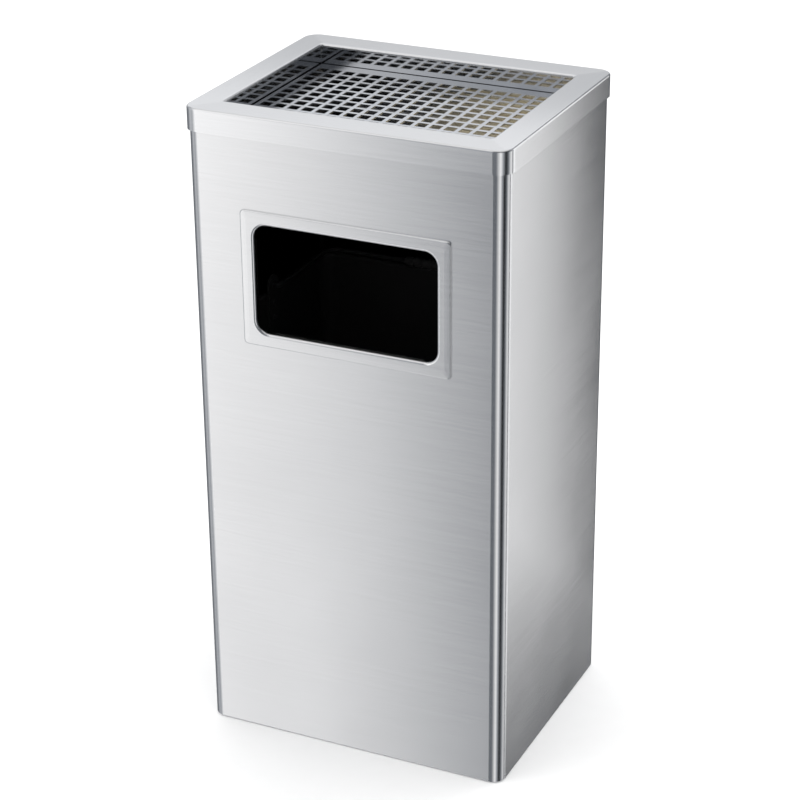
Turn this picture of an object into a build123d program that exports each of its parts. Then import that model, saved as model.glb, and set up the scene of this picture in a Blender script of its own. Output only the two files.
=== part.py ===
from build123d import *
import os

# Rectangular stainless litter bin with a lift-off lid, an ash tray under a perforated
# grate, and an inner bucket with a wire bail. Millimetres. +Z is up, the litter opening
# faces -Y, and the origin is the centre of the footprint at floor level.

# ---------------------------------------------------------------- driving dimensions
body_width = 300.0
body_depth = 242.0
total_height = 610.0
corner_radius = 12.0
sheet = 0.8

# Lid
lid_overhang = 2.3
skirt_height = 21.0
rim_bend_radius = 2.0
lid_opening_width = 252.0
lid_opening_depth = 188.0
lid_opening_radius = 2.0
lip_height = 3.0
lip_bend_radius = 1.9
well_step = 0.2
well_flange = 8.0
well_radius = 0.6
ledge_width = 10.0

# Grate and ash tray
grate_drop = 19.0
grate_thickness = 1.5
grate_width = 251.2
grate_depth = 187.2
hole_size = 10.0
hole_pitch = 13.7
hole_columns = 18
hole_rows = 12
pan_width = 248.0
pan_depth = 168.0
pan_height = 34.0
pan_corner_radius = 10.0
pan_bend_radius = 4.0
pan_flange_depth = 186.0
pan_flange_radius = 4.0

# Litter opening and its bezel
opening_centre_x = 1.2
opening_height = 461.5
opening_width = 173.4
opening_tall = 101.0
opening_radius = 12.0
bezel_width = 200.0
bezel_tall = 126.0
bezel_radius = 4.0
bezel_raise = 2.0
bezel_edge_radius = 1.3
bezel_dish_insets = (0.0, 2.0, 4.0, 6.0)
bezel_dish_drops = (0.08, 0.035, 0.01, 0.0)
bezel_lip_radius = 2.6
lip_land = 0.4
return_depth = 6.0
return_notch = 13.6
cutout_clearance = 1.2
backing_margin = 9.0

# Base and feet
floor_gap = 1.5
bottom_flange = 10.0
slip_fit = 0.2
base_plate_top = 7.0
base_edge_radius = 1.5
foot_x = 120.0
foot_y = 92.0
foot_radius = 11.0
foot_draft = 1.0
foot_edge_radius = 0.6
screw_radius = 2.0
screw_head_radius = 3.8
screw_head_height = 2.2
screw_head_edge_radius = 0.9
screw_tip_chamfer = 0.4
screw_hole_clearance = 0.15
nut_thread_clearance = 0.05
counterbore_radius = 4.6
counterbore_depth = 3.2
washer_radius = 4.5
washer_thickness = 1.0
nut_flats = 7.0
nut_height = 3.2
screw_tip = 1.4

# Back seam
seam_gap = 0.4
seam_strip_width = 24.0
seam_strip_margin = 14.0
cut_through = 2.4

# Inner bucket
liner_width = 272.0
liner_depth = 216.0
liner_radius = 14.0
liner_top = 397.5
liner_floor_rise = 11.0
liner_floor_edge_radius = 2.0
bead_radius = 3.2
wire_clearance = 0.15
curl_gap_angle = 54.0

# Bail, its ears and its grip
bail_radius = 2.5
pivot_height = 403.0
pivot_clearance = 0.1
bail_reach = 105.0
bail_arm_x = 127.5
bail_bend_radius = 5.0
bail_corner_radius = 14.0
bail_end_x = 139.0
bail_head_radius = 3.6
bail_head_length = 1.6
ear_thickness = 2.0
ear_width = 20.0
ear_bottom = 362.0
ear_corner_radius = 4.0
rivet_heights = (370.0, 384.0)
rivet_radius = 2.0
rivet_head_radius = 3.8
rivet_head_height = 1.4
wire_fit = 0.05
grip_radius = 5.0
grip_length = 92.0
grip_edge_radius = 1.0
grip_grooves = 9
grip_groove_width = 1.6
grip_groove_depth = 0.6

# ---------------------------------------------------------------- derived dimensions
front_y = -body_depth / 2
shell_top = total_height - sheet
lid_width = body_width + 2 * lid_overhang
lid_depth = body_depth + 2 * lid_overhang
lid_radius = corner_radius + lid_overhang
grate_top = total_height - grate_drop
tray_top = grate_top - grate_thickness
ledge_top = tray_top - sheet
well_width = lid_opening_width + 2 * (sheet + well_step)
well_depth = lid_opening_depth + 2 * (sheet + well_step)
foot_height = base_plate_top - sheet
cutout_margin = sheet + cutout_clearance
bezel_face = body_depth / 2 + bezel_raise
dished_raise = bezel_raise - bezel_dish_drops[0]
dish_plane = bezel_face - bezel_dish_drops[0]
bead_height = liner_top - bead_radius
bead_offset = bead_radius - sheet
foot_corners = {
    "foot_front_left": (-foot_x, -foot_y),
    "foot_front_right": (foot_x, -foot_y),
    "foot_back_left": (-foot_x, foot_y),
    "foot_back_right": (foot_x, foot_y),
}


# ---------------------------------------------------------------- shared outlines
def band(width, depth, radius, thickness, height):
    """Section of a rounded rectangular band, measured over its outer faces."""
    with BuildSketch(Plane.XY.offset(height)) as outline:
        RectangleRounded(width, depth, radius)
        RectangleRounded(
            width - 2 * thickness, depth - 2 * thickness, radius - thickness, mode=Mode.SUBTRACT
        )
    return outline.sketch


def plate(width, depth, radius, height):
    """Rounded rectangular plate outline at a height."""
    with BuildSketch(Plane.XY.offset(height)) as outline:
        RectangleRounded(width, depth, radius)
    return outline.sketch


def window(width, tall, radius, front):
    """Rounded rectangle centred on the litter opening, on the plane y = -front."""
    with BuildSketch(Plane.XZ.offset(front)) as outline:
        with Locations((opening_centre_x, opening_height)):
            RectangleRounded(width, tall, radius)
    return outline.sketch


def dish(margin):
    """Outlines up the bezel's dished border, for faces that lie a margin inside its own."""
    outlines = []
    for inset, drop in zip(bezel_dish_insets, bezel_dish_drops):
        shrink = 2 * max(inset, margin)
        outlines.append(
            window(
                bezel_width - shrink,
                bezel_tall - shrink,
                bezel_radius - margin,
                bezel_face - margin - drop,
            )
        )
    return outlines


def finish(part, name):
    """Label a finished piece and write it."""
    part.label = name
    export_step(part, f"parts/{name}.step")


os.makedirs("parts", exist_ok=True)

# ---------------------------------------------------------------- body shell
# One folded sheet: four walls, an inward flange along the bottom edge, the litter
# cut-out in the front, and the open butt seam up the middle of the back.
with BuildPart() as body_shell:
    extrude(band(body_width, body_depth, corner_radius, sheet, floor_gap), amount=shell_top - floor_gap)
    extrude(band(body_width, body_depth, corner_radius, bottom_flange, floor_gap), amount=sheet)
    extrude(
        window(
            opening_width + 2 * cutout_margin,
            opening_tall + 2 * cutout_margin,
            opening_radius + cutout_margin,
            body_depth / 2,
        ),
        amount=-cut_through,
        mode=Mode.SUBTRACT,
    )
    with BuildSketch(Plane.XY.offset(floor_gap)):
        with Locations((0, body_depth / 2)):
            Rectangle(seam_gap, 2 * cut_through)
    extrude(amount=shell_top - floor_gap, mode=Mode.SUBTRACT)
finish(body_shell.part, "body_shell")

# Backing strip behind the seam, welded down both sides of it.
with BuildPart() as seam_strip:
    with BuildSketch(Plane.XY.offset(seam_strip_margin)):
        with Locations((0, body_depth / 2 - 1.5 * sheet)):
            Rectangle(seam_strip_width, sheet)
    extrude(amount=shell_top - skirt_height - 2 * seam_strip_margin)
finish(seam_strip.part, "seam_strip")

# ---------------------------------------------------------------- litter opening
# Pressed bezel: a face plate standing proud of the shell, its border dished slightly and
# its outer edge bent back to the shell, a rolled lip round the opening, and four straight
# return flanges that reach through the cut-out and stop short of the corners.
with BuildPart() as opening_bezel:
    extrude(window(bezel_width, bezel_tall, bezel_radius, body_depth / 2), amount=dished_raise)
    loft(dish(0))
    border = opening_bezel.edges().filter_by_position(Axis.Y, -dish_plane, -dish_plane)
    fillet(border, radius=bezel_edge_radius)
    extrude(
        window(bezel_width - 2 * sheet, bezel_tall - 2 * sheet, bezel_radius - sheet, body_depth / 2),
        amount=dished_raise - sheet,
        mode=Mode.SUBTRACT,
    )
    loft(dish(sheet), mode=Mode.SUBTRACT)
    extrude(
        window(opening_width + 2 * sheet, opening_tall + 2 * sheet, opening_radius + sheet, bezel_face),
        amount=-bezel_lip_radius - lip_land,
    )
    lip_root = opening_bezel.faces().filter_by(Axis.Y).sort_by(Axis.Y)[1]
    fillet(lip_root.inner_wires()[0].edges(), radius=bezel_lip_radius - sheet)
    with BuildSketch(Plane.XZ.offset(bezel_face)):
        with Locations((opening_centre_x, opening_height)):
            Rectangle(opening_width + 2 * sheet, opening_tall - 2 * return_notch)
            Rectangle(opening_width - 2 * return_notch, opening_tall + 2 * sheet)
    extrude(amount=-return_depth)
    extrude(
        window(opening_width, opening_tall, opening_radius, bezel_face),
        amount=-return_depth,
        mode=Mode.SUBTRACT,
    )
    bezel_front = opening_bezel.faces().sort_by(Axis.Y)[0]
    fillet(bezel_front.inner_wires()[0].edges(), radius=bezel_lip_radius)
finish(opening_bezel.part, "opening_bezel")

# Flat ring behind the cut-out. It stiffens the thin front wall and holds the bezel by its
# return flanges.
with BuildPart() as bezel_backing:
    extrude(
        window(
            opening_width + 2 * backing_margin,
            opening_tall + 2 * backing_margin,
            opening_radius,
            body_depth / 2 - sheet,
        ),
        amount=-sheet,
    )
    extrude(
        window(
            opening_width + 2 * sheet,
            opening_tall + 2 * sheet,
            opening_radius + sheet,
            body_depth / 2 - sheet,
        ),
        amount=-sheet,
        mode=Mode.SUBTRACT,
    )
finish(bezel_backing.part, "bezel_backing")

# ---------------------------------------------------------------- base and feet
# Inverted tray standing on the shell's bottom flange.
with BuildPart() as base_pan:
    base_bottom = floor_gap + sheet
    extrude(
        plate(
            body_width - 2 * (sheet + slip_fit),
            body_depth - 2 * (sheet + slip_fit),
            corner_radius - sheet - slip_fit,
            base_bottom,
        ),
        amount=base_plate_top - base_bottom,
    )
    fillet(base_pan.faces().sort_by(Axis.Z)[-1].edges(), radius=base_edge_radius)
    offset(amount=-sheet, openings=base_pan.faces().sort_by(Axis.Z)[0])
    with Locations(*[(x, y, base_plate_top) for x, y in foot_corners.values()]):
        Hole(screw_radius + screw_hole_clearance, depth=cut_through)
finish(base_pan.part, "base_pan")

# Rubber feet, counterbored for their screws.
for name, (x, y) in foot_corners.items():
    with BuildPart(Plane((x, y, 0))) as foot:
        Cone(
            foot_radius - foot_draft,
            foot_radius,
            foot_height,
            align=(Align.CENTER, Align.CENTER, Align.MIN),
        )
        fillet(foot.edges().sort_by(Axis.Z)[0], radius=foot_edge_radius)
        Cylinder(
            counterbore_radius,
            counterbore_depth,
            align=(Align.CENTER, Align.CENTER, Align.MIN),
            mode=Mode.SUBTRACT,
        )
        Cylinder(
            screw_radius + screw_hole_clearance,
            foot_height,
            align=(Align.CENTER, Align.CENTER, Align.MIN),
            mode=Mode.SUBTRACT,
        )
    finish(foot.part, name)

foot_points = [Location((x, y, 0)) for x, y in foot_corners.values()]
nut_top = base_plate_top + washer_thickness + nut_height

# Pan-head screws, heads up inside the counterbores.
with BuildPart() as foot_screws:
    with Locations(*foot_points):
        with Locations((0, 0, counterbore_depth - screw_head_height)):
            Cylinder(
                screw_head_radius,
                screw_head_height,
                align=(Align.CENTER, Align.CENTER, Align.MIN),
            )
    fillet(foot_screws.edges().group_by(Axis.Z)[0], radius=screw_head_edge_radius)
    with Locations(*foot_points):
        with Locations((0, 0, counterbore_depth)):
            Cylinder(
                screw_radius,
                nut_top + screw_tip - counterbore_depth,
                align=(Align.CENTER, Align.CENTER, Align.MIN),
            )
    chamfer(foot_screws.edges().group_by(Axis.Z)[-1], length=screw_tip_chamfer)
finish(foot_screws.part, "foot_screws")

with BuildPart() as foot_washers:
    with BuildSketch(Plane.XY.offset(base_plate_top)):
        with Locations(*foot_points):
            Circle(washer_radius)
            Circle(screw_radius + screw_hole_clearance, mode=Mode.SUBTRACT)
    extrude(amount=washer_thickness)
finish(foot_washers.part, "foot_washers")

with BuildPart() as foot_nuts:
    with BuildSketch(Plane.XY.offset(base_plate_top + washer_thickness)):
        with Locations(*foot_points):
            RegularPolygon(nut_flats / 2, 6, major_radius=False)
            Circle(screw_radius + nut_thread_clearance, mode=Mode.SUBTRACT)
    extrude(amount=nut_height)
finish(foot_nuts.part, "foot_nuts")

# ---------------------------------------------------------------- inner bucket
# The wall is wrapped from one sheet. Its top curls outwards over a wire, and the curl
# stops short of the wall, so its section is an open ring.
with BuildSketch(Plane.XY.offset(bead_height)) as bead_outline:
    RectangleRounded(
        liner_width + 2 * bead_offset, liner_depth + 2 * bead_offset, liner_radius + bead_offset
    )
bead_path = bead_outline.sketch.face().outer_wire()
bead_start = bead_path @ 0
bead_along = bead_path % 0
bead_outward = bead_along.cross(Vector(0, 0, 1))
if bead_outward.dot(Vector(bead_start.X, bead_start.Y, 0)) < 0:
    bead_along = bead_along * -1
    bead_outward = bead_outward * -1
bead_plane = Plane(bead_start, x_dir=bead_outward, z_dir=bead_along * -1)

with BuildPart() as liner_wall:
    with BuildSketch(bead_plane):
        Circle(bead_radius)
        Circle(bead_radius - sheet, mode=Mode.SUBTRACT)
        with BuildLine():
            curl_end = PolarLine((0, 0), 2 * bead_radius, 180 + curl_gap_angle)
            curl_start = Line((0, 0), (-2 * bead_radius, 0))
            Line(curl_end @ 1, curl_start @ 1)
        make_face(mode=Mode.SUBTRACT)
    sweep(path=bead_path)
    extrude(
        band(liner_width, liner_depth, liner_radius, sheet, base_plate_top),
        amount=bead_height - base_plate_top,
    )
    with Locations(*[Plane((0, 0, z), x_dir=(0, 1, 0), z_dir=(1, 0, 0)) for z in rivet_heights]):
        Cylinder(rivet_radius + wire_fit, 2 * liner_width, mode=Mode.SUBTRACT)
finish(liner_wall.part, "liner_wall")

with BuildPart() as rim_wire:
    with BuildSketch(bead_plane):
        Circle(bead_radius - sheet - wire_clearance)
    sweep(path=bead_path)
finish(rim_wire.part, "rim_wire")

# The bottom is an inverted tray set up inside the wall, so the bucket stands on its edge.
with BuildPart() as liner_floor:
    extrude(
        plate(
            liner_width - 2 * (sheet + slip_fit),
            liner_depth - 2 * (sheet + slip_fit),
            liner_radius - sheet - slip_fit,
            base_plate_top,
        ),
        amount=liner_floor_rise,
    )
    fillet(liner_floor.faces().sort_by(Axis.Z)[-1].edges(), radius=liner_floor_edge_radius)
    offset(amount=-sheet, openings=liner_floor.faces().sort_by(Axis.Z)[0])
finish(liner_floor.part, "liner_floor")

# ---------------------------------------------------------------- bail
# Ears stand up inside the side walls and carry the bail above the rim.
liner_inner_x = liner_width / 2 - sheet
for name, side in (("bail_ear_left", -1), ("bail_ear_right", 1)):
    with BuildPart() as ear:
        with BuildSketch(Plane.YZ.offset(side * (liner_inner_x - ear_thickness / 2))):
            with Locations((0, (ear_bottom + pivot_height) / 2)):
                Rectangle(ear_width, pivot_height - ear_bottom)
            with Locations((0, pivot_height)):
                Circle(ear_width / 2)
                Circle(bail_radius + pivot_clearance, mode=Mode.SUBTRACT)
            with Locations(*[(0, z) for z in rivet_heights]):
                Circle(rivet_radius + wire_fit, mode=Mode.SUBTRACT)
        extrude(amount=ear_thickness / 2, both=True)
        fillet(ear.edges().filter_by(Axis.X).group_by(Axis.Z)[0], radius=ear_corner_radius)
    finish(ear.part, name)

# Rivets through the ears and the side walls, with low domed heads on both faces.
with BuildPart() as ear_rivets:
    for side in (-1, 1):
        for height in rivet_heights:
            outer_face = liner_width / 2
            inner_face = liner_inner_x - ear_thickness
            with BuildSketch(Plane.XZ):
                with BuildLine():
                    Polyline(
                        (side * (inner_face - rivet_head_height), height),
                        (side * (inner_face - rivet_head_height), height + rivet_head_radius / 2),
                        (side * inner_face, height + rivet_head_radius),
                        (side * inner_face, height + rivet_radius),
                        (side * outer_face, height + rivet_radius),
                        (side * outer_face, height + rivet_head_radius),
                        (side * (outer_face + rivet_head_height), height + rivet_head_radius / 2),
                        (side * (outer_face + rivet_head_height), height),
                        close=True,
                    )
                make_face()
            revolve(axis=Axis((0, 0, height), (1, 0, 0)))
finish(ear_rivets.part, "ear_rivets")

# The bail is one bent wire, folded back on the rim: out through one ear, along the side,
# across the back and home again, with its ends upset outside the ears.
with BuildPart() as bail_handle:
    with BuildLine(Plane.XY.offset(pivot_height)):
        FilletPolyline(
            (bail_end_x, 0),
            (bail_arm_x, 0),
            (bail_arm_x, bail_reach),
            (-bail_arm_x, bail_reach),
            (-bail_arm_x, 0),
            (-bail_end_x, 0),
            radius=(bail_bend_radius, bail_corner_radius, bail_corner_radius, bail_bend_radius),
        )
    with BuildSketch(Plane((bail_end_x, 0, pivot_height), z_dir=(-1, 0, 0))):
        Circle(bail_radius)
    sweep()
    for side in (-1, 1):
        with BuildSketch(Plane.YZ.offset(side * bail_end_x)):
            with Locations((0, pivot_height)):
                Circle(bail_head_radius)
        extrude(amount=-side * bail_head_length)
finish(bail_handle.part, "bail_handle")

# Sleeve on the cross wire, with ring grooves for the fingers.
with BuildPart() as bail_grip:
    with BuildSketch(Plane.YZ):
        with Locations((bail_reach, pivot_height)):
            Circle(grip_radius)
    extrude(amount=grip_length / 2, both=True)
    fillet(bail_grip.edges(), radius=grip_edge_radius)
    groove_pitch = grip_length / (grip_grooves + 1)
    for index in range(grip_grooves):
        middle = (index + 1) * groove_pitch - grip_length / 2
        with BuildSketch(Plane.YZ.offset(middle)):
            with Locations((bail_reach, pivot_height)):
                Circle(2 * grip_radius)
                Circle(grip_radius - grip_groove_depth, mode=Mode.SUBTRACT)
        extrude(amount=grip_groove_width / 2, both=True, mode=Mode.SUBTRACT)
    with BuildSketch(Plane.YZ):
        with Locations((bail_reach, pivot_height)):
            Circle(bail_radius + wire_fit)
    extrude(amount=grip_length, both=True, mode=Mode.SUBTRACT)
finish(bail_grip.part, "bail_grip")

# ---------------------------------------------------------------- lid
# Cap of one sheet: skirt, bent outer edge, flat rim, and a lip turned down round the well.
with BuildPart() as lid_cap:
    extrude(plate(lid_width, lid_depth, lid_radius, total_height - skirt_height), amount=skirt_height)
    fillet(lid_cap.faces().sort_by(Axis.Z)[-1].edges(), radius=rim_bend_radius)
    offset(amount=-sheet, openings=lid_cap.faces().sort_by(Axis.Z)[0])
    extrude(
        plate(
            lid_opening_width + 2 * sheet,
            lid_opening_depth + 2 * sheet,
            lid_opening_radius + sheet,
            total_height,
        ),
        amount=-lip_height,
    )
    extrude(
        plate(lid_opening_width, lid_opening_depth, lid_opening_radius, total_height),
        amount=-lip_height,
        mode=Mode.SUBTRACT,
    )
    rim_face = lid_cap.faces().sort_by(Axis.Z)[-1]
    fillet(rim_face.inner_wires()[0].edges(), radius=lip_bend_radius)
finish(lid_cap.part, "lid_cap")

# Polished band round the well: a flange welded under the rim, four upright walls, and a
# ledge along the front and back that carries the ash tray.
with BuildPart() as well_frame:
    extrude(
        band(
            well_width + 2 * sheet,
            well_depth + 2 * sheet,
            well_radius + sheet,
            sheet,
            ledge_top - sheet,
        ),
        amount=shell_top - ledge_top + sheet,
    )
    extrude(
        band(
            well_width + 2 * (sheet + well_flange),
            well_depth + 2 * (sheet + well_flange),
            well_radius + sheet + well_flange,
            sheet + well_flange,
            shell_top - sheet,
        ),
        amount=sheet,
    )
    with BuildSketch(Plane.XY.offset(ledge_top - sheet)):
        RectangleRounded(well_width + 2 * sheet, well_depth + 2 * sheet, well_radius + sheet)
        Rectangle(well_width, well_depth - 2 * ledge_width, mode=Mode.SUBTRACT)
    extrude(amount=sheet)
finish(well_frame.part, "well_frame")

# ---------------------------------------------------------------- ash tray and grate
# Drawn pan with a flange along the front and back edges.
with BuildPart() as ash_tray:
    extrude(plate(pan_width, pan_depth, pan_corner_radius, tray_top - pan_height), amount=pan_height)
    fillet(ash_tray.faces().sort_by(Axis.Z)[0].edges(), radius=pan_bend_radius)
    offset(amount=-sheet, openings=ash_tray.faces().sort_by(Axis.Z)[-1])
    with BuildSketch(Plane.XY.offset(tray_top - sheet)):
        RectangleRounded(pan_width, pan_flange_depth, pan_flange_radius)
        RectangleRounded(
            pan_width - 2 * sheet,
            pan_depth - 2 * sheet,
            pan_corner_radius - sheet,
            mode=Mode.SUBTRACT,
        )
    extrude(amount=sheet)
finish(ash_tray.part, "ash_tray")

# Flat plate punched with square holes.
with BuildPart() as ash_grate:
    with BuildSketch(Plane.XY.offset(tray_top)):
        RectangleRounded(grate_width, grate_depth, lid_opening_radius)
        with GridLocations(hole_pitch, hole_pitch, hole_columns, hole_rows):
            Rectangle(hole_size, hole_size, mode=Mode.SUBTRACT)
    extrude(amount=grate_thickness)
finish(ash_grate.part, "ash_grate")
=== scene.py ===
import math

import bpy
from mathutils import Euler, Matrix, Vector


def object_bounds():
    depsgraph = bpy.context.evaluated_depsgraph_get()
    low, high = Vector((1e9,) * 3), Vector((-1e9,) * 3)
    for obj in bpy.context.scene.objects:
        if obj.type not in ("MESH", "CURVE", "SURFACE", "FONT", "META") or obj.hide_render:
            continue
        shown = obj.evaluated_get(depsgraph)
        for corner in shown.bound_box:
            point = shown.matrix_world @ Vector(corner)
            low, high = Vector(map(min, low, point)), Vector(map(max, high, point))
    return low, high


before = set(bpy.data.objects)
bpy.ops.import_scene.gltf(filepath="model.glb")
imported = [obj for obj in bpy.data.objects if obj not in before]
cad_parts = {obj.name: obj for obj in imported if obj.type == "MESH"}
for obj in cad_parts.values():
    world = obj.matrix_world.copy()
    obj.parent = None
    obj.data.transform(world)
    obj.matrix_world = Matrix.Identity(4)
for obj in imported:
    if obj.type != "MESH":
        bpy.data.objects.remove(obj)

# A brushed stainless litter bin with an ash tray in its lid, in metres, +Z up.
# The litter opening faces -Y.

cad_low, cad_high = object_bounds()
MM = 0.001

# ------------------------------------------------------------------ camera
CAMERA_PLACE = Vector((0.8576, -1.8319, 1.2438))
CAMERA_YAW = math.radians(25.21)
CAMERA_DOWN = math.radians(24.79)
CAMERA_ROLL = math.radians(-0.55)
LENS_MM = 108.2


def add_camera():
    data = bpy.data.cameras.new("camera")
    data.sensor_width = 36.0
    data.lens = LENS_MM
    data.clip_end = 50.0
    camera = bpy.data.objects.new("camera", data)
    bpy.context.scene.collection.objects.link(camera)
    turn = Euler((math.pi / 2 - CAMERA_DOWN, 0, CAMERA_YAW)).to_matrix().to_4x4()
    roll = Matrix.Rotation(CAMERA_ROLL, 4, "Z")
    camera.matrix_world = Matrix.Translation(CAMERA_PLACE) @ turn @ roll
    bpy.context.scene.camera = camera


# ------------------------------------------------------------------ node helpers
class Graph:
    """A node tree with short ways to add and join nodes."""

    def __init__(self, tree):
        self.tree = tree

    def add(self, kind, inputs=(), **settings):
        node = self.tree.nodes.new(kind)
        for key, value in settings.items():
            setattr(node, key, value)
        for key, value in dict(inputs).items():
            if isinstance(value, bpy.types.NodeSocket):
                self.tree.links.new(value, node.inputs[key])
            else:
                node.inputs[key].default_value = value
        return node

    def place(self):
        """Position in the bin's own frame, in metres."""
        return self.add("ShaderNodeTexCoord").outputs["Object"]

    def normal(self):
        return self.add("ShaderNodeNewGeometry").outputs["Normal"]

    def math(self, operation, a, b=0.0):
        return self.add("ShaderNodeMath", {0: a, 1: b}, operation=operation).outputs[0]

    def vector(self, operation, a, b=(0.0, 0.0, 0.0)):
        node = self.add("ShaderNodeVectorMath", {0: a, 1: b}, operation=operation)
        return node.outputs["Value" if operation == "DOT_PRODUCT" else "Vector"]

    def scaled_place(self, along_x, along_y, along_z):
        return self.vector("MULTIPLY", self.place(), (along_x, along_y, along_z))

    def remap(self, value, low, high, to_low=0.0, to_high=1.0, smooth=False):
        """A value's range low..high mapped to another range and held there at the ends."""
        kind = "SMOOTHSTEP" if smooth else "LINEAR"
        inputs = {"Value": value, "From Min": low, "From Max": high, "To Min": to_low, "To Max": to_high}
        return self.add("ShaderNodeMapRange", inputs, interpolation_type=kind).outputs["Result"]

    def noise(self, vector, scale, detail=2.0, roughness=0.5):
        inputs = {"Vector": vector, "Scale": scale, "Detail": detail, "Roughness": roughness}
        return self.add("ShaderNodeTexNoise", inputs).outputs["Fac"]

    def mix(self, factor, a, b):
        return self.add("ShaderNodeMix", {0: factor, 2: a, 3: b}).outputs[0]

    def mix_color(self, factor, a, b):
        return self.add("ShaderNodeMix", {0: factor, 6: a, 7: b}, data_type="RGBA").outputs[2]

    def mix_vector(self, factor, a, b):
        return self.add("ShaderNodeMix", {0: factor, 4: a, 5: b}, data_type="VECTOR").outputs[1]


AXIS_X, AXIS_Y, AXIS_Z = (1.0, 0.0, 0.0), (0.0, 1.0, 0.0), (0.0, 0.0, 1.0)
# Cosines of a rounded normal's turn, where edge wear starts and where it is full.
FLAT_COSINE, EDGE_COSINE = 0.995, 0.8
# A face counts as level above this upward share.
LEVEL_SHARE = 0.7
NEUTRAL = (1.0, 1.0, 1.01)
COOL = (0.97, 0.99, 1.03)
# Edges are lightened towards this tone, by this share.
WORN_TONE = 0.92
WORN_SHARE = 0.5
EDGE_RADIUS, BRUSHED_EDGE_RADIUS = 0.6 * MM, 0.9 * MM
# Spans that most of a noise lies in: a single one, and the sum of fine and coarse lines.
NOISE_SPAN = (0.3, 0.7)
LINE_SPAN = (0.2, 0.8)


def new_material(name, **constants):
    """A Principled material. Constants are set on the shader's own sockets."""
    material = bpy.data.materials.new(name)
    material.use_nodes = True
    shader = material.node_tree.nodes["Principled BSDF"]
    for key, value in constants.items():
        shader.inputs[key.replace("_", " ")].default_value = value
    return material, Graph(material.node_tree), shader


def join(graph, output, shader, socket):
    graph.tree.links.new(output, shader.inputs[socket])


def grey(value, tint=(1.0, 1.0, 1.0)):
    return (value * tint[0], value * tint[1], value * tint[2], 1.0)


def edge_mask(graph, radius):
    """1 along convex and concave edges within a radius, fading to 0 on flats."""
    bevel = graph.add("ShaderNodeBevel", {"Radius": radius}, samples=4)
    turned = graph.vector("DOT_PRODUCT", bevel.outputs[0], graph.normal())
    return graph.remap(turned, FLAT_COSINE, EDGE_COSINE)


def upward_share(graph):
    """1 on faces that look straight up, 0 on upright ones, -1 on those that look down."""
    return graph.add("ShaderNodeSeparateXYZ", {0: graph.normal()}).outputs[2]


def on_level_face(graph):
    """1 on level faces, 0 on upright ones."""
    return graph.math("GREATER_THAN", graph.math("ABSOLUTE", upward_share(graph)), LEVEL_SHARE)


def on_side_rim(graph):
    """1 on the left and right strips of a rim, 0 on its front and back, mitred at the corners."""
    split = graph.add("ShaderNodeSeparateXYZ", {0: graph.place()})
    beyond_x = graph.math("SUBTRACT", graph.math("ABSOLUTE", split.outputs[0]), cad_high.x)
    beyond_y = graph.math("SUBTRACT", graph.math("ABSOLUTE", split.outputs[1]), cad_high.y)
    return graph.math("GREATER_THAN", beyond_x, beyond_y)


def across_grain(graph, mitred):
    """Direction that reflections are smeared in: across the brush lines, which run level."""
    across_rim = AXIS_Y
    if mitred:
        across_rim = graph.mix_vector(on_side_rim(graph), AXIS_Y, AXIS_X)
    return graph.mix_vector(on_level_face(graph), AXIS_Z, across_rim)


def facing_axis(graph):
    """1 on upright faces that look towards the bin's middle, 0 on those that look out."""
    outward = graph.vector("DOT_PRODUCT", graph.normal(), graph.scaled_place(1.0, 1.0, 0.0))
    return graph.math("LESS_THAN", outward, -10 * MM)


# ------------------------------------------------------------------ metals
# Brush lines: noise cells per metre along a line and across it. The streaks are bundles
# of lines, and the broad smudges change the polish a little.
LINE_ALONG, LINE_ACROSS, LINE_INTO_RIM = 30.0, 2600.0, 300.0
STREAK_ALONG, STREAK_ACROSS = 6.0, 420.0
SMUDGE_SCALE = 7.0
SMUDGE_ROUGHNESS = (-0.015, 0.02)
EDGE_POLISH = 0.3
LINE_SHARE, STREAK_SHARE = 0.66, 0.34
LIGHT_LINE, DARK_LINE = 1.05, 0.935
SMOOTH_LINE, ROUGH_LINE = 0.88, 1.12
# Painted shade: faces inside the shell get near-black tones and a duller roughness, standing in for the
# dark inside of the bin.
DARK_INSIDE, LIGHT_INSIDE, INSIDE_ROUGHNESS = 0.02, 0.035, 0.6


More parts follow.
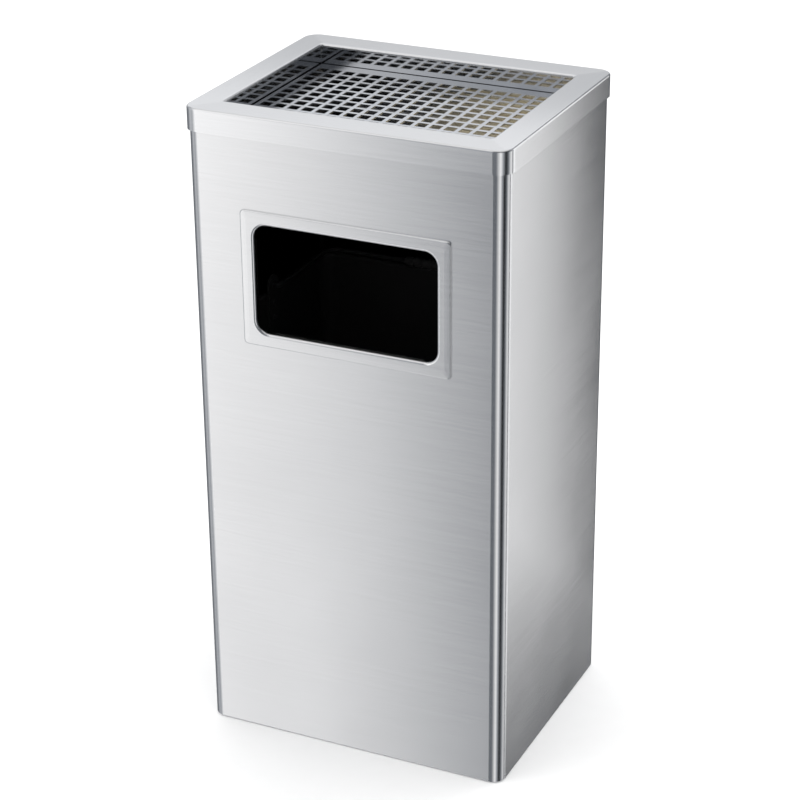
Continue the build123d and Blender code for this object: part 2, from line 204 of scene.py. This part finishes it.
def brushed_steel(name, tone, tint, roughness, anisotropy, mitred=False, painted_shade_inside=False):
    """Brushed sheet with level lines, on the rim too where mitred, and worn bright edges."""
    material, graph, shader = new_material(name, Metallic=1.0, Anisotropic=anisotropy)
    lines_at = graph.scaled_place(LINE_ALONG, LINE_ALONG, LINE_ACROSS)
    fine = graph.noise(lines_at, 1.0, 3.0, 0.6)
    coarse = graph.noise(graph.scaled_place(STREAK_ALONG, STREAK_ALONG, STREAK_ACROSS), 1.0, 2.0)
    smudge = graph.noise(graph.place(), SMUDGE_SCALE, 3.0)
    if mitred:
        side_at = graph.scaled_place(LINE_ACROSS, LINE_ALONG, LINE_INTO_RIM)
        front_at = graph.scaled_place(LINE_ALONG, LINE_ACROSS, LINE_INTO_RIM)
        side = graph.noise(side_at, 1.0, 3.0, 0.6)
        front = graph.noise(front_at, 1.0, 3.0, 0.6)
        rim = graph.mix(on_side_rim(graph), front, side)
        fine = graph.mix(on_level_face(graph), fine, rim)
    edge = edge_mask(graph, BRUSHED_EDGE_RADIUS)
    fine_part = graph.math("MULTIPLY", fine, LINE_SHARE)
    lines = graph.math("ADD", fine_part, graph.math("MULTIPLY", coarse, STREAK_SHARE))
    light, dark = grey(tone * LIGHT_LINE, tint), grey(tone * DARK_LINE, tint)
    colour = graph.mix_color(graph.remap(lines, *LINE_SPAN), dark, light)
    worn_part = graph.math("MULTIPLY", edge, WORN_SHARE)
    colour = graph.mix_color(worn_part, colour, grey(WORN_TONE, tint))
    rough = graph.remap(lines, *LINE_SPAN, roughness * SMOOTH_LINE, roughness * ROUGH_LINE)
    rough = graph.math("ADD", rough, graph.remap(smudge, *NOISE_SPAN, *SMUDGE_ROUGHNESS))
    rough = graph.math("SUBTRACT", rough, graph.math("MULTIPLY", edge, roughness * EDGE_POLISH))
    bump = graph.add("ShaderNodeBump", {"Strength": 0.06, "Distance": 0.02 * MM, "Height": fine})
    # Painted shade: faces that look towards the bin's middle are painted near black in place of the
    # shade inside the shell.
    if painted_shade_inside:
        inside = facing_axis(graph)
        black = graph.mix_color(smudge, grey(DARK_INSIDE), grey(LIGHT_INSIDE))
        colour = graph.mix_color(inside, colour, black)
        rough = graph.mix(inside, rough, INSIDE_ROUGHNESS)
    join(graph, colour, shader, "Base Color")
    join(graph, rough, shader, "Roughness")
    join(graph, bump.outputs[0], shader, "Normal")
    join(graph, across_grain(graph, mitred), shader, "Tangent")
    return material


HAZE_SCALE = 35.0
SCRATCH_ALONG, SCRATCH_ACROSS = 40.0, 900.0
RIPPLE_SCALE = 11.0


def bright_steel(name, tone, tint, roughness, wave=0.4):
    """Polished sheet: faint waviness, a haze of fine scratches and duller patches."""
    material, graph, shader = new_material(name, Metallic=1.0)
    haze = graph.noise(graph.place(), HAZE_SCALE, 4.0)
    scratch_at = graph.scaled_place(SCRATCH_ALONG, SCRATCH_ACROSS, SCRATCH_ACROSS)
    scratch = graph.noise(scratch_at, 1.0, 4.0, 0.7)
    ripple = graph.noise(graph.place(), RIPPLE_SCALE, 1.0)
    edge = edge_mask(graph, EDGE_RADIUS)
    colour = graph.mix_color(haze, grey(tone * 0.93, tint), grey(tone * 1.04, tint))
    worn_part = graph.math("MULTIPLY", edge, WORN_SHARE)
    colour = graph.mix_color(worn_part, colour, grey(WORN_TONE, tint))
    dull = graph.remap(haze, *NOISE_SPAN, roughness * 0.7, roughness * 1.4)
    rough = graph.math("ADD", dull, graph.math("MULTIPLY", scratch, roughness * 0.4))
    wavy = graph.math("MULTIPLY", ripple, wave)
    height = graph.math("ADD", wavy, graph.math("MULTIPLY", scratch, 0.01))
    bump = graph.add("ShaderNodeBump", {"Strength": 0.25, "Distance": 0.3 * MM, "Height": height})
    join(graph, colour, shader, "Base Color")
    join(graph, rough, shader, "Roughness")
    join(graph, bump.outputs[0], shader, "Normal")
    return material


PATCH_SCALE = 22.0
SPOT_SCALE = 110.0


def stain_and_light_steel(name, tone, lit_stain, clean_and_shaded_x, stained_and_lit_x):
    """Clean pan steel outside. Inside it is dull, dark at one end as painted shade and bright tan at the
    other, which is ash staining and painted light together.
    """
    material, graph, shader = new_material(name)
    cloud = graph.noise(graph.place(), PATCH_SCALE, 5.0, 0.6)
    spots = graph.noise(graph.place(), SPOT_SCALE, 3.0)
    along = graph.add("ShaderNodeSeparateXYZ", {0: graph.place()}).outputs[0]
    # Painted shade and painted light along x: dark at the first given x, bright tan at the second,
    # standing in for the shadow of the pan's end wall and light falling through the grate, as well as
    # ash staining.
    stain_and_light_gradient = graph.remap(along, clean_and_shaded_x, stained_and_lit_x, smooth=True)
    patchy = graph.math("MULTIPLY", stain_and_light_gradient, graph.remap(cloud, 0.25, 0.6, 0.6, 1.0))
    speckled = graph.mix_color(graph.remap(spots, 0.35, 0.65), lit_stain + (1.0,), grey(0.7, lit_stain))
    base = graph.mix_color(patchy, grey(tone), speckled)
    bump = graph.add("ShaderNodeBump", {"Strength": 0.3, "Distance": 0.15 * MM, "Height": spots})
    facing_sky = graph.math("GREATER_THAN", upward_share(graph), LEVEL_SHARE)
    inside = graph.math("MAXIMUM", facing_axis(graph), facing_sky)
    outer = graph.mix_color(cloud, grey(0.55), grey(0.66))
    metal = graph.mix(inside, 1.0, graph.remap(patchy, 0.0, 1.0, 1.0, 0.45))
    rough = graph.mix(inside, 0.3, graph.remap(patchy, 0.0, 1.0, 0.2, 0.5))
    join(graph, graph.mix_color(inside, outer, base), shader, "Base Color")
    join(graph, metal, shader, "Metallic")
    join(graph, rough, shader, "Roughness")
    join(graph, bump.outputs[0], shader, "Normal")
    return material


SPANGLE_SCALE = 90.0
MILL_CLOUD_SCALE = 25.0


def mill_steel(name, tone, tint, spangle=0.0):
    """Unfinished or galvanised sheet, with crystal spangle where asked for."""
    material, graph, shader = new_material(name, Metallic=1.0)
    cells = graph.add("ShaderNodeTexVoronoi", {"Vector": graph.place(), "Scale": SPANGLE_SCALE})
    cell_tone = graph.add("ShaderNodeSeparateColor", {0: cells.outputs["Color"]}).outputs[0]
    cloud = graph.noise(graph.place(), MILL_CLOUD_SCALE, 5.0)
    mixed = graph.mix(spangle, cloud, cell_tone)
    colour = graph.mix_color(mixed, grey(tone * 0.8, tint), grey(tone * 1.1, tint))
    bump = graph.add("ShaderNodeBump", {"Strength": 0.15, "Distance": 0.05 * MM, "Height": cloud})
    join(graph, colour, shader, "Base Color")
    join(graph, graph.remap(mixed, 0.0, 1.0, 0.34, 0.5), shader, "Roughness")
    join(graph, bump.outputs[0], shader, "Normal")
    return material


# ------------------------------------------------------------------ coatings, plastic, rubber
COATING_CLOUD_SCALE = 14.0


def matt_coating(name, colour, roughness, grain_size, relief, worn_colour, wear=0.5):
    """Matt paint, plastic or rubber with a fine grain, cloudy tone and scuffed edges."""
    material, graph, shader = new_material(name, Specular_IOR_Level=0.35)
    grain = graph.noise(graph.place(), 1.0 / grain_size, 3.0)
    cloud = graph.noise(graph.place(), COATING_CLOUD_SCALE, 4.0)
    edge = edge_mask(graph, EDGE_RADIUS)
    darker = tuple(c * 0.7 for c in colour) + (1.0,)
    lighter = tuple(c * 1.3 for c in colour) + (1.0,)
    base = graph.mix_color(cloud, darker, lighter)
    scuffs = graph.remap(cloud, 0.4, 0.65)
    scuffed = graph.math("MULTIPLY", graph.math("MULTIPLY", edge, wear), scuffs)
    base = graph.mix_color(scuffed, base, worn_colour)
    bump = graph.add("ShaderNodeBump", {"Strength": 0.5, "Distance": relief, "Height": grain})
    join(graph, base, shader, "Base Color")
    rough = graph.remap(grain, *NOISE_SPAN, roughness * 0.88, roughness * 1.12)
    join(graph, rough, shader, "Roughness")
    join(graph, bump.outputs[0], shader, "Normal")
    return material


def dress(node, material):
    """Give a CAD node one material over its whole surface."""
    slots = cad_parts[node].data.materials
    slots.clear()
    slots.append(material)


# ------------------------------------------------------------------ stage
FLOOR_REACH = 12.0
PAPER_SCALE = 60.0
PAPER_DARK, PAPER_LIGHT = 0.93, 0.96


def add_floor():
    material, graph, shader = new_material("floor_paper", Roughness=0.9)
    paper = graph.noise(graph.place(), PAPER_SCALE, 4.0)
    join(graph, graph.mix_color(paper, grey(PAPER_DARK), grey(PAPER_LIGHT)), shader, "Base Color")
    mesh = bpy.data.meshes.new("floor")
    corners = [(x * FLOOR_REACH, y * FLOOR_REACH, 0) for x, y in ((-1, -1), (1, -1), (1, 1), (-1, 1))]
    mesh.from_pydata(corners, [], [(0, 1, 2, 3)])
    mesh.materials.append(material)
    floor = bpy.data.objects.new("floor", mesh)
    bpy.context.scene.collection.objects.link(floor)
    floor.visible_glossy = False
    floor.visible_shadow = False


# Studio surround seen in reflections: (bearing in degrees from the front, -Y, towards +X,
# brightness above the bin, level with it, and below it).
SURROUND = (
    (-180, 0.55, 0.4, 0.3), (-155, 0.63, 0.4, 0.3), (-114, 0.4, 0.15, 0.15), (-94, 0.4, 0.25, 0.22),
    (-78, 0.6, 0.6, 0.5), (-56, 0.7, 0.42, 0.36), (-48, 0.85, 0.62, 0.5), (-36, 1.2, 1.48, 1.12),
    (-30.2, 1.1, 1.32, 1.0), (-29.5, 0.98, 1.16, 1.05), (-28.5, 0.9, 1.0, 1.18),
    (-27.4, 0.8, 0.82, 1.22), (-26.4, 0.7, 0.66, 1.08), (-25.3, 0.62, 0.48, 0.84),
    (-24.2, 0.55, 0.33, 0.56), (-23.4, 0.48, 0.24, 0.38), (-22.9, 0.42, 0.2, 0.3),
    (-21, 0.35, 0.17, 0.2), (-14, 0.3, 0.15, 0.18), (-8, 0.2, 0.15, 0.16), (5, 0.1, 0.18, 0.18),
    (35, 0.1, 1.1, 0.95), (50, 0.1, 0.42, 0.4), (68, 0.05, 0.0, 0.0), (86, 0.05, 0.1, 0.1),
    (102, 0.1, 0.6, 0.5), (110, 0.15, 1.0, 0.8), (118, 0.2, 0.9, 0.7),
    (125, 0.2, 0.15, 0.1), (157, 0.1, 0.02, 0.03), (172, 0.2, 0.1, 0.06),
)
# Heights (the upward share of a direction) over which each ring gives way to the next.
HEIGHT_BLENDS = ((-0.6, -0.2), (-0.1, 0.25), (0.6, 0.95))
OVERHEAD = 0.8
DIFFUSE_LEVEL = 1.3
BACKDROP_LEVEL = 1.0
# Colours are stored divided by this, because a colour ramp holds nothing above 1.
STRENGTH = 2.0
BLUE_BELOW = 0.8


def studio_tone(value):
    """A brightness as a stored colour, slightly bluer the darker it is."""
    shade = max(0.0, BLUE_BELOW - value)
    return grey(value / STRENGTH, (1.0 - 0.11 * shade, 1.0, 1.0 + 0.17 * shade))


def add_surround():
    """Reflections see the surround, diffuse light is even, and the camera sees white."""
    world = bpy.data.worlds.new("studio")
    bpy.context.scene.world = world
    world.use_nodes = True
    world.cycles.sampling_method = "NONE"
    graph = Graph(world.node_tree)
    background = world.node_tree.nodes["Background"]
    direction = graph.add("ShaderNodeTexCoord").outputs["Generated"]
    way = graph.add("ShaderNodeSeparateXYZ", {0: direction})
    bearing = graph.math("ARCTAN2", way.outputs[0], graph.math("MULTIPLY", way.outputs[1], -1.0))
    position = graph.remap(bearing, -math.pi, math.pi)
    rings = []
    below, level, above = 3, 2, 1
    for column in (below, level, above):
        ramp = graph.add("ShaderNodeValToRGB", {0: position})
        ramp.color_ramp.interpolation = "LINEAR"
        elements = ramp.color_ramp.elements
        while len(elements) < len(SURROUND):
            elements.new(0.5)
        for element, row in zip(elements, SURROUND):
            element.position = (row[0] + 180) / 360
            element.color = studio_tone(row[column])
        rings.append(ramp.outputs[0])
    rings.append(grey(OVERHEAD / STRENGTH))
    seen = rings[0]
    for ring, (start, end) in zip(rings[1:], HEIGHT_BLENDS):
        share = graph.remap(way.outputs[2], start, end, smooth=True)
        seen = graph.mix_color(share, seen, ring)
    rays = graph.add("ShaderNodeLightPath")
    backdrop, diffuse = grey(BACKDROP_LEVEL / STRENGTH), grey(DIFFUSE_LEVEL / STRENGTH)
    white = graph.mix_color(rays.outputs["Is Diffuse Ray"], backdrop, diffuse)
    colour = graph.mix_color(rays.outputs["Is Glossy Ray"], white, seen)
    world.node_tree.links.new(colour, background.inputs[0])
    background.inputs[1].default_value = STRENGTH


# Softboxes: where each stands, what it is aimed at, its width, height and power in watts.
KEY = ((-1.6, -1.6, 2.4), (0, 0, 0.3), 1.6, 1.6, 12)
SIDE_PANEL = ((0.5, 0.545, 0.325), (0, 0.545, 0.325), 0.69, 1.35, 2.85)
BACK_CARD = ((-0.315, 0.32, 0.98), (-0.315, 0, 0.98), 0.87, 0.48, 0.47)


def add_softbox(name, place, aim, width, height, watts):
    data = bpy.data.lights.new(name, "AREA")
    data.shape = "RECTANGLE"
    data.size, data.size_y = width, height
    data.energy = watts
    light = bpy.data.objects.new(name, data)
    bpy.context.scene.collection.objects.link(light)
    light.location = place
    light.rotation_euler = (Vector(aim) - Vector(place)).to_track_quat("-Z", "Y").to_euler()
    light.visible_camera = False
    return light


# ------------------------------------------------------------------ making
bpy.context.scene.view_settings.view_transform = "Standard"
add_camera()
add_floor()
add_surround()
key = add_softbox("key", *KEY)
key.visible_glossy = False
add_softbox("side_panel", *SIDE_PANEL)
add_softbox("back_card", *BACK_CARD)

# The shell's inside faces are painted near black as painted shade.
shell_steel = brushed_steel("shell_steel", 0.8, NEUTRAL, 0.19, 1.0, painted_shade_inside=True)
lid_steel = brushed_steel("lid_steel", 0.86, NEUTRAL, 0.22, 0.9, mitred=True)
trim_steel = brushed_steel("trim_steel", 0.81, NEUTRAL, 0.22, 0.9)
well_polish = bright_steel("well_polish", 0.72, NEUTRAL, 0.05, 0.2)
grate_polish = bright_steel("grate_polish", 0.85, COOL, 0.16)
# Tray colour: tan ash staining brightened as painted light; the tray's dark end is painted shade.
LIT_ASH_TAN = (0.95, 0.86, 0.66)
tray_stain_and_light = stain_and_light_steel("tray_stain_and_light", 0.22, LIT_ASH_TAN, clean_and_shaded_x=-35 * MM, stained_and_lit_x=45 * MM)
plain_mill = mill_steel("plain_mill", 0.5, NEUTRAL)
galvanised = mill_steel("galvanised", 0.55, COOL, spangle=0.7)
zinc = mill_steel("zinc", 0.6, COOL)
BLACK, LINER_BLACK = (0.014, 0.014, 0.015), (0.018, 0.018, 0.019)
GRIP_BLACK, RUBBER_BLACK = (0.03, 0.03, 0.03), (0.025, 0.025, 0.025)
wire_black = matt_coating("wire_black", BLACK, 0.45, 0.5 * MM, 0.02 * MM, grey(0.1), wear=0.3)
# Painted shade: near black for the seam strip and bezel backing inside the shell, standing in for the
# dark inside of the bin.
inner_black = matt_coating("inner_black", BLACK, 0.7, 0.7 * MM, 0.03 * MM, grey(0.05))
liner_black = matt_coating("liner_black", LINER_BLACK, 0.6, 0.9 * MM, 0.03 * MM, grey(0.12))
grip_black = matt_coating("grip_black", GRIP_BLACK, 0.5, 0.5 * MM, 0.05 * MM, grey(0.09))
foot_rubber = matt_coating("foot_rubber", RUBBER_BLACK, 0.8, 0.4 * MM, 0.08 * MM, grey(0.12))

DRESSES = {
    "body_shell": shell_steel,
    "seam_strip": inner_black,
    "opening_bezel": trim_steel,
    "bezel_backing": inner_black,
    "base_pan": galvanised,
    "foot_front_left": foot_rubber,
    "foot_front_right": foot_rubber,
    "foot_back_left": foot_rubber,
    "foot_back_right": foot_rubber,
    "foot_screws": zinc,
    "foot_washers": zinc,
    "foot_nuts": zinc,
    "liner_wall": liner_black,
    "liner_floor": liner_black,
    "rim_wire": plain_mill,
    "bail_ear_left": liner_black,
    "bail_ear_right": liner_black,
    "ear_rivets": liner_black,
    "bail_handle": wire_black,
    "bail_grip": grip_black,
    "lid_cap": lid_steel,
    "well_frame": well_polish,
    "ash_tray": tray_stain_and_light,
    "ash_grate": grate_polish,
}
for node, material in DRESSES.items():
    dress(node, material)
